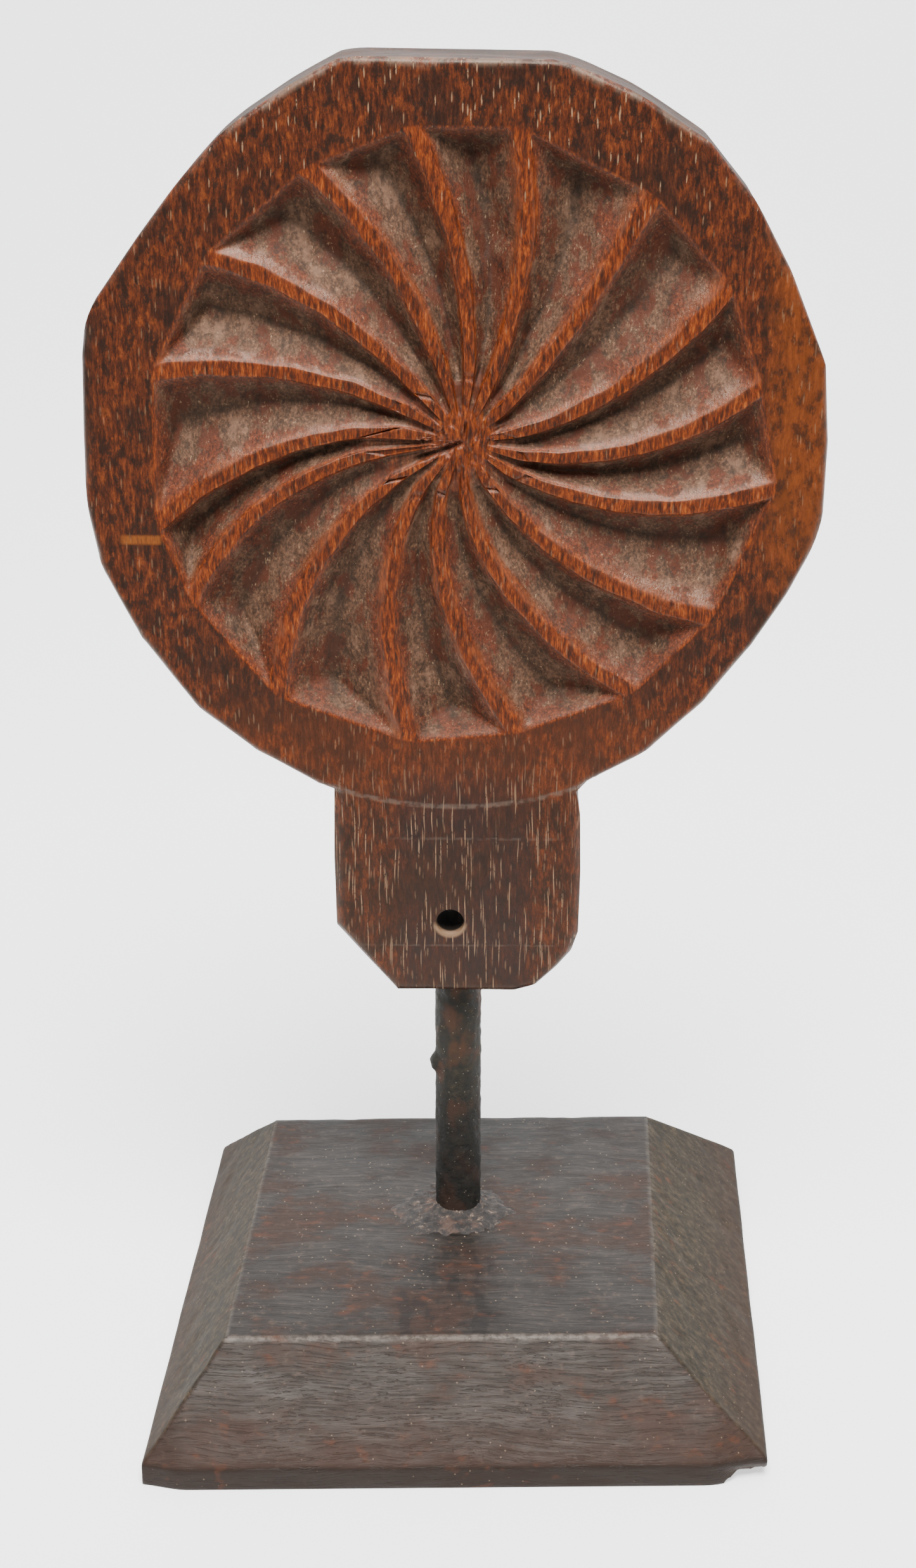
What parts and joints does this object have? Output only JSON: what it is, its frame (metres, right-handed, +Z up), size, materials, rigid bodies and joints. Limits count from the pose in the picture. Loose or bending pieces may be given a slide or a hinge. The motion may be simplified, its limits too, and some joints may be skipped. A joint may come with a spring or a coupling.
{
  "type": "butter mold on stand",
  "caption": "Round wooden butter mold with a swirl of carved hollows and a short drilled handle, held upright by an iron rod in a bevelled wooden base.",
  "frame": {"origin": "middle of the bounding box, on the surface that the base stands on", "axes": "+Z up along the rod, +X to the right as the carved face is looked at, +Y from the carved face to the back of the mold"},
  "size_m": [0.1153, 0.1036, 0.2184],
  "materials": {
    "base_wood": "dull dark stain",
    "rusty_iron": "rusted dark bar",
    "filler": "dusty hardened glue",
    "mold_wood": "hand-worn, reddish brown"
  },
  "bodies": {
    "stand": {"base": "base_wood", "rod": "rusty_iron", "filler": "filler"},
    "mold": {"mold": "mold_wood"}
  },
  "joints": [
    {"name": "mold_lift", "type": "slide", "parent": "stand", "child": "mold", "axis": [0, 0, 1], "range_m": [0, 0.012]}
  ]
}
